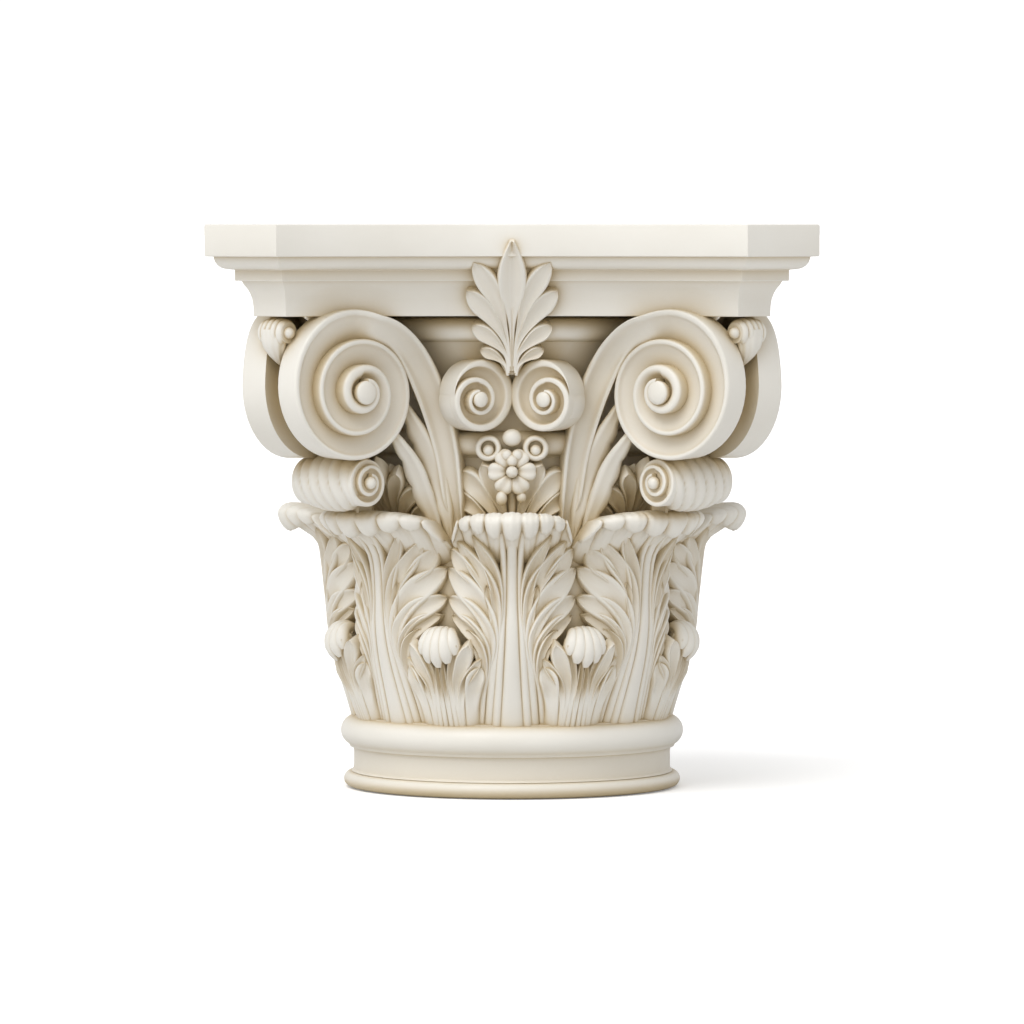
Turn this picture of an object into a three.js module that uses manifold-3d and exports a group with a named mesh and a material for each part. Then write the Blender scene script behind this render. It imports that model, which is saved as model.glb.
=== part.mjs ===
// A Corinthian capital, cast in one piece: a ringed foot, a bell wrapped in two rows of acanthus leaves,
// a pair of scrolls under each corner, two small scrolls and a palmette on each face, and a hollow-sided
// abacus on top. Millimetres, +Z up, the origin at the middle of the underside, one face towards -Y.
import * as THREE from 'three';
import { mergeVertices } from 'three/addons/utils/BufferGeometryUtils.js';
import Module from 'manifold-3d';

const HEIGHT = 500;
const SIDES = 4;
const QUARTER = 360 / SIDES;

// Abacus: a square of hollow sides with its corners cut off.
const CORNER_LONG = 264; // axis to the cut corner, along one side's direction
const CORNER_SHORT = 200; // and along the other
const SIDE_HOLLOW = 52; // how far the middle of a side lies behind its ends
const ABACUS_FOOT = 422;
const ABACUS_INSET = 34; // how far the abacus's foot lies inside its top
const ABACUS_STEPS = 4; // facets along a hollow side

// Foot and bell.
const FOOT_RADIUS = 150;
const RING_RADIUS = 153;
const BAND_RADIUS = 141;
const LEAF_FOOT = 65; // height at which the leaves rise from the upper ring
const COLLAR_HEIGHT = 310;
const LIP_HEIGHT = 409;
const LIP_RADIUS = 172;
const AROUND = 20; // facets around the foot and the bell

// Leaves.
const LEAF_COUNT = 8;
const LEAF_THICKNESS = 12;
const LEAF_BACKING = 24; // how far a leaf's back runs into the bell

// Corner scrolls, along the diagonal.
const SCROLL_REACH = 228; // axis of the capital to the middle of the scroll
const SCROLL_HEIGHT = 363;
const SCROLL_RADIUS = 65;
const SCROLL_HALF = 34; // half the thickness of the pair
const SCROLL_TURN = 6; // degrees that each disc is turned towards its face
const ROLL_REACH = 214;
const ROLL_HEIGHT = 276;
const ROLL_RADIUS = 25;

// Inner scrolls and palmette, on each face.
const HELIX_RADIUS = 31;
const HELIX_HEIGHT = 351;
const HELIX_OFFSET = 27; // middle of the face to the middle of the scroll
const HELIX_REACH = 168;
const HELIX_TURN = 30;
const PALMETTE_FOOT = 368;
const PALMETTE_TIP = 487;

const radians = THREE.MathUtils.degToRad;
const wasm = await Module();
wasm.setup();

// The solid inside a closed geometry, whichever way its faces point.
function solid(geometry) {
  const bare = new THREE.BufferGeometry().setAttribute('position', geometry.getAttribute('position').clone());
  bare.setIndex(geometry.index ? geometry.index.clone() : null);
  const merged = mergeVertices(bare, 1e-3);
  const corners = merged.index.array;
  const make = (turned) => {
    const kept = [];
    for (let i = 0; i < corners.length; i += 3) {
      const [a, b, c] = [corners[i], corners[i + 1], corners[i + 2]];
      if (a !== b && b !== c && a !== c) kept.push(...(turned ? [a, c, b] : [a, b, c]));
    }
    return new wasm.Manifold(
      new wasm.Mesh({
        numProp: 3,
        vertProperties: merged.attributes.position.array,
        triVerts: new Uint32Array(kept),
      }),
    );
  };
  const made = make(false);
  return made.volume() > 0 ? made : make(true);
}

// A closed skin over a row of rings of equally many points, each end closed around its own middle.
function loft(rings) {
  const count = rings[0].length;
  const middle = (ring) => ring.reduce((sum, p) => sum.add(p), new THREE.Vector3()).divideScalar(count);
  const points = [...rings.flat(), middle(rings[0]), middle(rings.at(-1))];
  const last = (rings.length - 1) * count;
  const index = [];
  for (let k = 0; k < count; k++) {
    const next = (k + 1) % count;
    for (let row = 0; row < last; row += count) {
      const [a, b] = [row + k, row + next];
      index.push(a, b, b + count, a, b + count, a + count);
    }
    index.push(next, k, last + count, last + k, last + next, last + count + 1);
  }
  const skin = new THREE.BufferGeometry().setFromPoints(points);
  skin.setIndex(index);
  return solid(skin);
}

// A turned piece about Z, from [radius, height] pairs that begin and end on the axis.
const turned = (profile, around) =>
  solid(new THREE.LatheGeometry(profile.map(([r, z]) => new THREE.Vector2(r, z)), around)).rotate([90, 0, 0]);

const union = (solids) => wasm.Manifold.union(solids);
const mirrored = (made) => union([made, made.mirror([0, 1, 0])]);
const spin = (made, degrees) => made.rotate([0, 0, degrees]);

// Points of a smooth curve through a row of points.
const along = (points, steps) =>
  new THREE.CatmullRomCurve3(
    points.map((p) => new THREE.Vector3(...p)),
    false,
    'centripetal',
  ).getPoints(steps);

// The value at share v of a row of numbers that are evenly spread from 0 to 1.
function blend(values, v) {
  const at = Math.min(v, 1) * (values.length - 1);
  const low = Math.min(Math.floor(at), values.length - 2);
  return THREE.MathUtils.lerp(values[low], values[low + 1], at - low);
}

// Foot ring, band, upper ring and bell, in one turned profile.
function footAndBell() {
  const rings = [
    [0, 0],
    [144, 0],
    [FOOT_RADIUS, 7],
    [BAND_RADIUS, 14],
    [BAND_RADIUS, 36],
    [150, 41],
    [RING_RADIUS, 50],
    [150, 59],
    [138, LEAF_FOOT],
  ];
  const bell = [
    [146, 205],
    [140, COLLAR_HEIGHT - 9],
    [152, COLLAR_HEIGHT - 4],
    [152, COLLAR_HEIGHT + 4],
    [141, COLLAR_HEIGHT + 9],
    [150, 380],
    [LIP_RADIUS, LIP_HEIGHT - 7],
    [LIP_RADIUS, ABACUS_FOOT + 4],
    [0, ABACUS_FOOT + 4],
  ];
  return turned([...rings, ...bell], AROUND);
}

// Outline of the abacus at one height: each hollow side drawn inwards by inset, in from the cut corners.
function abacusOutline(inset, height) {
  const half = CORNER_SHORT;
  const radius = (half * half + SIDE_HOLLOW * SIDE_HOLLOW) / (2 * SIDE_HOLLOW);
  const centre = CORNER_LONG - SIDE_HOLLOW + radius;
  const cut = CORNER_LONG + CORNER_SHORT - inset * Math.SQRT2;
  const reach = radius + inset;
  const gap = centre - cut;
  const end = (Math.sqrt(2 * reach * reach - gap * gap) - gap) / 2;
  const sweep = Math.asin(end / reach);
  const ring = [];
  for (let side = 0; side < SIDES; side++) {
    for (let k = 0; k <= ABACUS_STEPS; k++) {
      const angle = sweep * ((2 * k) / ABACUS_STEPS - 1);
      const point = new THREE.Vector3(reach * Math.sin(angle), reach * Math.cos(angle) - centre, height);
      ring.push(point.applyAxisAngle(new THREE.Vector3(0, 0, 1), radians(side * QUARTER)));
    }
  }
  return ring;
}

function abacus() {
  const moulding = [
    [ABACUS_INSET, ABACUS_FOOT],
    [ABACUS_INSET - 2, 440],
    [26, 451],
    [21, 451],
    [21, 461],
    [5, 472],
    [0, 473],
    [0, HEIGHT],
  ];
  return loft(moulding.map(([inset, height]) => abacusOutline(inset, height)));
}

// A leaf that climbs the bell and turns over at its tip. spine holds [radius, height] pairs, widths the
// half width from foot to tip, and share the part of its length that is backed by the bell.
function leaf({ spine, widths, across, steps, lobes, droop, share }) {
  const line = along(spine.map(([r, z]) => [r, 0, z]), steps);
  const rings = line.map((point, row) => {
    const v = row / steps;
    const ahead = line[Math.min(row + 1, steps)];
    const behind = line[Math.max(row - 1, 0)];
    const run = ahead.clone().sub(behind).normalize();
    const out = new THREE.Vector3(run.z, 0, -run.x);
    const half = blend(widths, v) * (1 + (lobes && row % 2 ? 0.08 : 0));
    const back = v < share ? LEAF_BACKING : LEAF_THICKNESS;
    const place = (t, lift) => {
      const at = point.clone().addScaledVector(out, lift);
      at.z -= droop * t * t * v;
      return at.applyAxisAngle(new THREE.Vector3(0, 0, 1), (t * half) / point.x);
    };
    const front = [];
    for (let k = 0; k <= across; k++) {
      const t = (2 * k) / across - 1;
      const rib = 4 * (1 - Math.abs(t)) + (k % 2 ? 0 : 2);
      front.push(place(t, rib - 4));
    }
    return [...front, place(1, -back), place(-1, -back)];
  });
  return loft(rings);
}

const tallLeaf = () =>
  leaf({
    spine: [
      [139, 62],
      [150, 100],
      [161, 145],
      [163, 185],
      [168, 215],
      [181, 240],
      [195, 250],
      [206, 247],
      [212, 236],
      [213, 222],
    ],
    widths: [31, 36, 50, 62, 62, 58, 50, 41, 32, 18],
    across: 4,
    steps: 7,
    lobes: true,
    droop: 5,
    share: 0.55,
  });

const smallLeaf = () =>
  leaf({
    spine: [[141, 62], [151, 95], [159, 122], [166, 139], [172, 141], [176, 132], [176, 120]],
    widths: [16, 20, 25, 24, 20, 16, 8],
    across: 4,
    steps: 4,
    lobes: false,
    droop: 4,
    share: 0.6,
  });

// The broad leaf behind the flower on each face.
const backLeaf = () =>
  leaf({
    spine: [[148, 210], [156, 240], [158, 262], [157, 280]],
    widths: [40, 46, 48, 30],
    across: 4,
    steps: 2,
    lobes: false,
    droop: 8,
    share: 2,
  });

// The leaf behind the roll at each corner.
const cornerLeaf = () =>
  leaf({
    spine: [[146, 210], [155, 245], [168, 275], [196, 300]],
    widths: [36, 44, 44, 34],
    across: 4,
    steps: 2,
    lobes: false,
    droop: 4,
    share: 0.4,
  });

// A raised spiral ridge on the plane z = 0, wound inwards from +Y, and the round eye at its centre.
function spiralRidge({ outer, turns, shrink, ridge, height, facets, eye }) {
  const steps = Math.round(turns * facets);
  const edge = (k, inwards) => {
    const angle = (2 * Math.PI * k) / facets;
    const radius = outer * Math.pow(shrink, k / facets);
    const r = radius - inwards * ridge * (radius / outer + 0.35);
    return new THREE.Vector2(-r * Math.sin(angle), r * Math.cos(angle));
  };
  const outline = [];
  for (let k = 0; k <= steps; k++) outline.push(edge(k, 0));
  for (let k = steps; k >= 0; k--) outline.push(edge(k, 1));
  const options = { depth: height, bevelEnabled: false };
  const knob = turned([[0, 0], [eye, 0], [eye, height + 3], [0, height + 3]], 5);
  return union([solid(new THREE.ExtrudeGeometry(new THREE.Shape(outline), options)), knob]);
}

// Stands a piece that faces +Z up on its edge, so that it faces +Y, with its own +Y pointing up.
const stand = (made) => made.rotate([90, 0, 180]);

// One disc of a corner's pair of scrolls, on the side towards +Y, with the stem that rises to it.
function cornerScroll() {
  const inner = SCROLL_RADIUS - 8;
  const rim = [
    [0, 8],
    [SCROLL_RADIUS, 10],
    [SCROLL_RADIUS, SCROLL_HALF],
    [inner, SCROLL_HALF],
    [inner - 2, SCROLL_HALF - 6],
    [0, SCROLL_HALF - 6],
  ];
  const ridge = spiralRidge({
    outer: 45,
    turns: 1,
    shrink: 0.5,
    ridge: 9,
    height: 11,
    facets: 7,
    eye: 10,
  });
  const disc = stand(union([turned(rim, 14), ridge.translate([7, -4, 26])]));
  const placed = spin(disc, -SCROLL_TURN).translate([SCROLL_REACH, 3, SCROLL_HEIGHT]);
  const stemSteps = 4;
  const bends = [
    [136, 64, 225],
    [146, 64, 295],
    [160, 58, 350],
    [178, 49, 396],
    [204, 36, 417],
    [226, 27, 420],
  ];
  const route = along(bends, stemSteps);
  const rings = route.map((point, row) => {
    const ahead = route[Math.min(row + 1, stemSteps)];
    const run = ahead.clone().sub(route[Math.max(row - 1, 0)]).normalize();
    const side = new THREE.Vector3(0.62, 0.78, 0);
    const up = new THREE.Vector3().crossVectors(run, side).normalize().multiplyScalar(10 + row * 0.7);
    const deep = side.multiplyScalar(9);
    const corner = (a, b) => point.clone().addScaledVector(up, a).addScaledVector(deep, b);
    return [corner(-1, 1), corner(1, 1), corner(1, -2.2), corner(-1, -2.2)];
  });
  return union([placed, loft(rings)]);
}

// A barrel that lies along Y, with small flat ends.
function barrel(radius, half, around) {
  const profile = [
    [0, -half],
    [radius * 0.75, -half],
    [radius, -half * 0.4],
    [radius, half * 0.4],
    [radius * 0.75, half],
    [0, half],
  ];
  return turned(profile, around).rotate([90, 0, 0]);
}

// The roll under the scrolls, the bud above them, and the blocks that join the pair and carry the roll.
function cornerRoll() {
  const roll = barrel(ROLL_RADIUS, SCROLL_HALF + 2, 6).translate([ROLL_REACH, 0, ROLL_HEIGHT]);
  const bud = barrel(16, 16, 5).translate([280, 0, 405]);
  const block = solid(new THREE.BoxGeometry(18, 36, 40)).translate([195, 0, 251]);
  const core = solid(new THREE.BoxGeometry(88, 30, 88)).translate([SCROLL_REACH - 8, 0, SCROLL_HEIGHT]);
  return union([roll, bud, block, core]);
}

const corner = () => union([mirrored(cornerScroll()), cornerRoll(), cornerLeaf()]);

// One inner scroll, on the side towards +Y of its face.
function helix() {
  const inner = HELIX_RADIUS - 6;
  const rim = [
    [0, -24],
    [HELIX_RADIUS, -24],
    [HELIX_RADIUS, 4],
    [inner, 4],
    [inner, -2],
    [0, -2],
  ];
  const knob = turned([[0, -3], [14, -3], [9, 5], [0, 5]], 5);
  const disc = union([turned(rim, 10), knob.translate([5, -3, 0])]);
  return disc
    .rotate([90, 0, 90])
    .rotate([0, 0, -HELIX_TURN])
    .translate([HELIX_REACH, HELIX_OFFSET, HELIX_HEIGHT]);
}

// The palmette: seven pointed fingers that fan out from one foot and lean forward to the top.
function palmette() {
  const lean = 44;
  const tall = Math.hypot(PALMETTE_TIP - PALMETTE_FOOT, lean);
  const fingers = [
    [44, 0.47],
    [31, 0.66],
    [17, 0.84],
    [0, 1],
    [-17, 0.84],
    [-31, 0.66],
    [-44, 0.47],
  ];
  const outline = new THREE.Shape();
  const corner = (angle, share) =>
    outline.lineTo(share * tall * Math.sin(radians(angle)), share * tall * Math.cos(radians(angle)));
  outline.moveTo(0, -8);
  fingers.forEach(([angle, share], k) => {
    if (k) corner((angle + fingers[k - 1][0]) / 2, Math.min(share, fingers[k - 1][1]) * 0.72);
    corner(angle + 3, share);
    corner(angle - 3, share);
  });
  const made = solid(new THREE.ExtrudeGeometry(outline, { depth: 14, bevelEnabled: false }));
  const tilt = THREE.MathUtils.radToDeg(Math.atan2(lean, PALMETTE_TIP - PALMETTE_FOOT));
  return made.translate([0, 0, -7]).rotate([90, 0, 90]).rotate([0, tilt, 0]).translate([171, 0, PALMETTE_FOOT]);
}

// The flower, the bead above it and the two curls beside it, on the collar of each face.
function flower() {
  const petals = 6;
  const outline = new THREE.Shape();
  for (let k = 0; k < 2 * petals; k++) {
    const angle = (Math.PI * k) / petals;
    const radius = k % 2 ? 21 : 10;
    outline.lineTo(radius * Math.cos(angle), radius * Math.sin(angle));
  }
  outline.closePath();
  const petalled = solid(new THREE.ExtrudeGeometry(outline, { depth: 14, bevelEnabled: false }));
  const bead = (radius) => solid(new THREE.OctahedronGeometry(radius, 0));
  const curl = turned([[0, -14], [12, -14], [12, 8], [0, 8]], 5).rotate([0, 90, 0]);
  return union([
    petalled.rotate([90, 0, 90]).translate([150, 0, 281]),
    bead(8).translate([165, 0, 281]),
    bead(10).translate([157, 0, 314]),
    mirrored(curl.translate([155, 20.5, 303])),
  ]);
}

const face = () => union([mirrored(helix()), palmette(), flower(), backLeaf()]);

function capital() {
  const pieces = [footAndBell(), abacus()];
  const [faceMade, cornerMade, tall, small] = [face(), corner(), tallLeaf(), smallLeaf()];
  for (let k = 0; k < SIDES; k++) {
    pieces.push(spin(faceMade, k * QUARTER), spin(cornerMade, (k + 0.5) * QUARTER));
  }
  for (let k = 0; k < LEAF_COUNT; k++) {
    pieces.push(spin(tall, (360 * k) / LEAF_COUNT), spin(small, (360 * (k + 0.5)) / LEAF_COUNT));
  }
  const whole = union(pieces).simplify(0.5);
  return whole.decompose().sort((a, b) => b.volume() - a.volume())[0];
}

function meshOf(made, name, material) {
  const { vertProperties, triVerts } = made.getMesh();
  const geometry = new THREE.BufferGeometry();
  geometry.setAttribute('position', new THREE.BufferAttribute(vertProperties, 3));
  geometry.setIndex(new THREE.BufferAttribute(triVerts, 1));
  geometry.computeVertexNormals();
  const mesh = new THREE.Mesh(geometry, material);
  mesh.name = name;
  return mesh;
}

const plaster = new THREE.MeshStandardMaterial({ color: 0xe6dfd0, roughness: 0.5, metalness: 0 });
const part = new THREE.Group();
part.add(meshOf(capital(), 'capital', plaster));
export default part;
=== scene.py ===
import math

import bmesh
import bpy
from mathutils import Matrix, Vector


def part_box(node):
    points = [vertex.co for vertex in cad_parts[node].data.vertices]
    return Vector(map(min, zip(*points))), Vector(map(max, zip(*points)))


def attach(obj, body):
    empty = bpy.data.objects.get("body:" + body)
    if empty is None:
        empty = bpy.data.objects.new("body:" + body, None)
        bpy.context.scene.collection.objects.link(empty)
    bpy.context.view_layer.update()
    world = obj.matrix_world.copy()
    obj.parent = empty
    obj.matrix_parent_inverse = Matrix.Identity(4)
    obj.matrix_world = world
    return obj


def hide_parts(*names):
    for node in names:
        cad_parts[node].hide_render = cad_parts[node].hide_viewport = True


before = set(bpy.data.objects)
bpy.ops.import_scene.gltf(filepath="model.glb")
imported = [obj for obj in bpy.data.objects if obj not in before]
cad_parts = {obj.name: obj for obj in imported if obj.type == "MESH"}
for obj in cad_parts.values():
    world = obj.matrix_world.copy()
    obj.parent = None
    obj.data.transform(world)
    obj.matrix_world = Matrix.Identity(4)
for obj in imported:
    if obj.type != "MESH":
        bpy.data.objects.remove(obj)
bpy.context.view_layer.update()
low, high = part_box("capital")

# One millimetre of the capital, whose height is 500 of them, and whose axis stands at the origin.
HEIGHT = 500
MM = (high.z - low.z) / HEIGHT
FOOT_Z = low.z


# ---------------------------------------------------------------- small helpers


def limit(value):
    """The value, kept between 0 and 1."""
    return min(max(value, 0.0), 1.0)


def ease(value):
    """A smooth climb from 0 to 1 while the value goes from 0 to 1."""
    value = limit(value)
    return value * value * (3 - 2 * value)


def blend(values, share):
    """The value at share (0 to 1) of a row of evenly spaced numbers."""
    at = limit(share) * (len(values) - 1)
    k = min(int(at), len(values) - 2)
    return values[k] + (values[k + 1] - values[k]) * (at - k)


def smooth_line(points, count):
    """count + 1 points of a smooth curve through a row of points, evenly spread along its length."""
    knots = [Vector(p) for p in points]
    ends = [2 * knots[0] - knots[1], *knots, 2 * knots[-1] - knots[-2]]
    fine = []
    steps = 14
    for k in range(1, len(ends) - 2):
        a, b, c, d = ends[k - 1 : k + 3]
        for j in range(steps):
            t = j / steps
            fine.append(
                0.5 * (2 * b + (c - a) * t + (2 * a - 5 * b + 4 * c - d) * t * t
                       + (3 * b - a - 3 * c + d) * t * t * t)
            )
    fine.append(knots[-1])
    lengths = [0.0]
    for a, b in zip(fine, fine[1:]):
        lengths.append(lengths[-1] + (b - a).length)
    made = []
    k = 0
    for n in range(count + 1):
        want = lengths[-1] * n / count
        while k < len(fine) - 2 and lengths[k + 1] < want:
            k += 1
        gap = lengths[k + 1] - lengths[k]
        made.append(fine[k].lerp(fine[k + 1], (want - lengths[k]) / gap if gap else 0))
    return made


def middle_of(ring):
    return sum(ring, Vector((0, 0, 0))) / len(ring)


def loft(bm, rings, closed_row=False):
    """A closed skin over rings of equally many points. The ends close on their own middles."""
    rows = rings if closed_row else [[middle_of(rings[0])] * len(rings[0]), *rings,
                                     [middle_of(rings[-1])] * len(rings[-1])]
    if closed_row:
        rows = [*rows, rows[0]]
    around = len(rows[0])
    grid = bmesh.ops.create_grid(bm, x_segments=around, y_segments=len(rows) - 1, size=1)["verts"]
    at = 0
    for row in rows:
        for point in row:
            grid[at].co = point
            at += 1
        grid[at].co = row[0]
        at += 1
    bmesh.ops.remove_doubles(bm, verts=grid, dist=0.002)


def lathe(bm, profile, around=128):
    """A turned piece about Z from [radius, z] pairs."""
    rings = []
    for k in range(around):
        a = 2 * math.pi * k / around
        rings.append([Vector((r * math.sin(a), -r * math.cos(a), z)) for r, z in profile])
    loft(bm, rings, closed_row=True)


def sphere(bm, radius, segments=20):
    rows = segments // 2 + 2
    return bmesh.ops.create_uvsphere(bm, u_segments=segments, v_segments=rows, radius=radius)["verts"]


def ball(bm, centre, radius, stretch=(1, 1, 1), segments=20):
    made = sphere(bm, radius, segments)
    for v in made:
        v.co = Vector((v.co.x * stretch[0], v.co.y * stretch[1], v.co.z * stretch[2])) + Vector(centre)
    return made


def scroll_knob(bm, centre, facing, radius, front, back, segments=20):
    """The round knob at the eye of a scroll: front is how far it stands out, back how far it goes in."""
    twist = facing.to_track_quat("Z", "Y").to_matrix()
    for v in sphere(bm, 1, segments):
        deep = front if v.co.z > 0 else back
        v.co = centre + twist @ Vector((v.co.x * radius, v.co.y * radius, v.co.z * deep))


def turn_about_axis(bm, degrees):
    turn = Matrix.Rotation(math.radians(degrees), 3, "Z")
    bmesh.ops.rotate(bm, verts=bm.verts, cent=(0, 0, 0), matrix=turn)


def around_axis(bm, count, start=0.0):
    """Repeats all that bm holds count times about Z, the first copy turned by start degrees."""
    turn_about_axis(bm, start)
    geom = bm.verts[:] + bm.edges[:] + bm.faces[:]
    bmesh.ops.spin(bm, geom=geom, cent=(0, 0, 0), axis=(0, 0, 1), steps=count - 1,
                   angle=2 * math.pi * (count - 1) / count, use_duplicate=True)


def take_in(bm, other):
    """Moves all that another bmesh holds into bm."""
    mesh = bpy.data.meshes.new("taken_in")
    other.to_mesh(mesh)
    other.free()
    bm.from_mesh(mesh)
    bpy.data.meshes.remove(mesh)


def mirror_half(bm):
    """Adds the mirror image across the plane x = 0 to all that bm holds."""
    geom = bm.verts[:] + bm.edges[:] + bm.faces[:]
    made = bmesh.ops.duplicate(bm, geom=geom)["geom"]
    for v in (e for e in made if isinstance(e, bmesh.types.BMVert)):
        v.co.x = -v.co.x
    bmesh.ops.reverse_faces(bm, faces=[e for e in made if isinstance(e, bmesh.types.BMFace)])


def finish_piece(bm, name, material, sharp=38):
    """Turns a bmesh in millimetres into a finished piece in the frame."""
    bmesh.ops.recalc_face_normals(bm, faces=bm.faces)
    bmesh.ops.scale(bm, vec=(MM, MM, MM), verts=bm.verts)
    bmesh.ops.translate(bm, vec=(0, 0, FOOT_Z), verts=bm.verts)
    bmesh.ops.triangulate(bm, faces=[f for f in bm.faces if len(f.verts) > 4])
    mesh = bpy.data.meshes.new(name)
    bm.to_mesh(mesh)
    bm.free()
    mesh.polygons.foreach_set("use_smooth", [True] * len(mesh.polygons))
    mesh.set_sharp_from_angle(angle=math.radians(sharp))
    mesh.materials.append(material)
    piece = bpy.data.objects.new(name, mesh)
    bpy.context.collection.objects.link(piece)
    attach(piece, "root")
    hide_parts("capital")


class Surface:
    """A surface of revolution that leaves grow on. A point is u sideways, v up the surface, h out from it."""

    def __init__(self, spine, count=160):
        line = smooth_line([(r, 0, z) for r, z in spine], count)
        self.line = [(p.x, p.z) for p in line]
        self.count = count
        self.length = sum((b - a).length for a, b in zip(line, line[1:]))

    def v_at(self, z):
        """How far up the surface the height z is first reached."""
        for k in range(self.count):
            if self.line[k + 1][1] >= z:
                z0, z1 = self.line[k][1], self.line[k + 1][1]
                share = (z - z0) / (z1 - z0) if z1 > z0 else 0
                return (k + share) * self.length / self.count
        return self.length

    def place(self, u, v, h):
        at = limit(v / self.length) * self.count
        k = min(int(at), self.count - 1)
        t = at - k
        (r0, z0), (r1, z1) = self.line[k], self.line[k + 1]
        r, z = r0 + (r1 - r0) * t, z0 + (z1 - z0) * t
        before, after = self.line[max(k - 2, 0)], self.line[min(k + 3, self.count)]
        dr, dz = after[0] - before[0], after[1] - before[1]
        size = math.hypot(dr, dz) or 1
        out = r + h * dz / size
        angle = u / r
        return Vector((out * math.sin(angle), -out * math.cos(angle), z - h * dr / size))


SECTION = [-1, -0.97, -0.88, -0.74, -0.56, -0.3, 0, 0.3, 0.56, 0.74, 0.88, 0.97, 1]


def finger(bm, place, path, width, crown, groove=(0, 0), lift=(0, 0), crease=0.0, deep=5, steps=22):
    """One finger of a leaf: a pipe that widens into a spoon and ends in a point.

    path is a row of (u, v); width, crown, groove and lift are rows of numbers along it: half width, height
    of the rims, share of that height that the hollow takes, and height of the whole above its surface.
    """
    line = smooth_line([(u, v, 0) for u, v in path], steps)
    rings = []
    for k, here in enumerate(line):
        share = k / steps
        run = line[min(k + 1, steps)] - line[max(k - 1, 0)]
        run.normalize()
        side = Vector((run.y, -run.x, 0))
        half, top, hollow, up = (blend(x, share) for x in (width, crown, groove, lift))
        half = max(half, 0.15)
        ring = []
        for s in SECTION:
            round_over = max(0.0, 1 - abs(s) ** (2.2 + 4 * hollow)) ** 0.5
            dish = hollow * max(0.0, 1 - (s / 0.8) ** 2)
            seam = crease * max(0.0, 1 - abs(s) / 0.12)
            at = here + side * (s * half)
            ring.append(place(at.x, at.y, up + top * (round_over * (1 - dish) - seam)))
        for s in (0.85, 0, -0.85):
            at = here + side * (s * half)
            ring.append(place(at.x, at.y, up - deep))
        rings.append(ring)
    loft(bm, rings)


def sheet(bm, place, rows, top, back):
    """The body under a leaf's fingers: rows are (v, half width), top and back the heights of its faces."""
    across = [k / 5 - 1 for k in range(11)]
    rings = []
    for v, half in rows:
        front = [place(half * s, v, top - 1.5 * s**4) for s in across]
        rings.append(front + [place(half * s, v, back) for s in reversed(across)])
    loft(bm, rings)


def both_sides(path):
    """A path and its mirror image."""
    return [path, [(-u, v) for u, v in path]]


def ribbon(bm, sections):
    """A channelled band. A section is (outer edge, inner edge, normal, depth, rise, profile).

    The profile is rows of (share of the way from the outer edge to the inner one, height), and depth is how
    far the band goes back.
    """
    rings = []
    for outer, inner, normal, depth, rise, profile in sections:
        ring = [outer.lerp(inner, f) + normal * (rise + h) for f, h in profile]
        back = [outer.lerp(inner, f) - normal * depth for f in (0.96, 0.5, 0.03)]
        rings.append(ring + back)
    loft(bm, rings)


def mix_profiles(first, second, share):
    share = limit(share)
    return [(a[0] + (b[0] - a[0]) * share, a[1] + (b[1] - a[1]) * share) for a, b in zip(first, second)]


# Profiles across a band, from its outer edge to its inner one.
CHANNEL = [
    (0.0, -3.0), (0.015, -1.2), (0.05, -0.2), (0.1, 0.0), (0.18, 0.0), (0.21, -0.6), (0.25, -2.0),
    (0.34, -3.2), (0.46, -4.3), (0.6, -5.2), (0.75, -5.9), (0.88, -6.3), (0.97, -6.6), (1.04, -7.0),
]
ROUNDED = [
    (0.0, -3.4), (0.02, -1.4), (0.07, 0.0), (0.14, 0.8), (0.22, 1.3), (0.32, 1.5), (0.42, 1.3),
    (0.52, 0.6), (0.6, -0.4), (0.68, -2.0), (0.75, -4.0), (0.85, -6.4), (0.97, -7.4), (1.04, -7.8),
]
STEM_BAND = [
    (0.0, -3.0), (0.02, -0.9), (0.06, 0.0), (0.14, 0.0), (0.19, -0.9), (0.27, -3.2), (0.4, -4.8),
    (0.55, -5.2), (0.68, -4.6), (0.77, -3.0), (0.83, -0.9), (0.88, 0.0), (0.96, -0.2), (1.0, -3.0),
]
FILLET = [
    (0.0, -2.0), (0.02, -0.7), (0.07, 0.0), (0.16, 0.2), (0.3, 0.2), (0.38, 0.0), (0.42, -0.8),
    (0.46, -2.6), (0.54, -4.8), (0.66, -6.2), (0.8, -6.8), (0.9, -7.0), (0.97, -7.0), (1.04, -7.2),
]


STEPS_PER_TURN = 56


def scroll_sections(eye, across, up, radii, drift, start, turns, rise, depth, hand, outer, inner, thin):
    """The sections of a flat scroll wound inwards to its eye.

    across is the way it turns from the top. radii holds its outer edge's distance from the eye every quarter
    turn. drift moves the middle of the outer turn.
    """
    normal = across.cross(up).normalized() * hand
    knots = smooth_line([(k * 100, x, 0) for k, x in enumerate(radii)], 160)
    spread = (len(radii) - 1) / 4
    sizes = [p.y for p in knots]
    made = []
    count = int(round((turns - start) * STEPS_PER_TURN))

    def edge(turn):
        angle = 2 * math.pi * turn
        way = across * math.sin(angle) + up * math.cos(angle)
        middle = eye + (across * drift[0] + up * drift[1]) * ease(1 - turn)
        return middle + way * blend(sizes, (turn - start) / spread)

    for k in range(count + 1):
        turn = start + (turns - start) * k / count
        out = edge(turn)
        inside = edge(turn + 1) if turn + 1 <= start + spread else eye.lerp(out, 0.35)
        back = depth * (1 if turn < 1 else thin)
        profile = mix_profiles(outer, inner, (turn - 1.45) / 0.5)
        flat = 1 - 0.45 * limit((turn - start - spread + 1.2) / 0.6)
        profile = [(f, h * flat) for f, h in profile]
        made.append((out, inside, normal, back, rise * max(turn, 0.0), profile))
    return made


# ---------------------------------------------------------------- abacus, foot and bell

CORNER_LONG = 264
CORNER_SHORT = 200
SIDE_HOLLOW = 52


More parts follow.
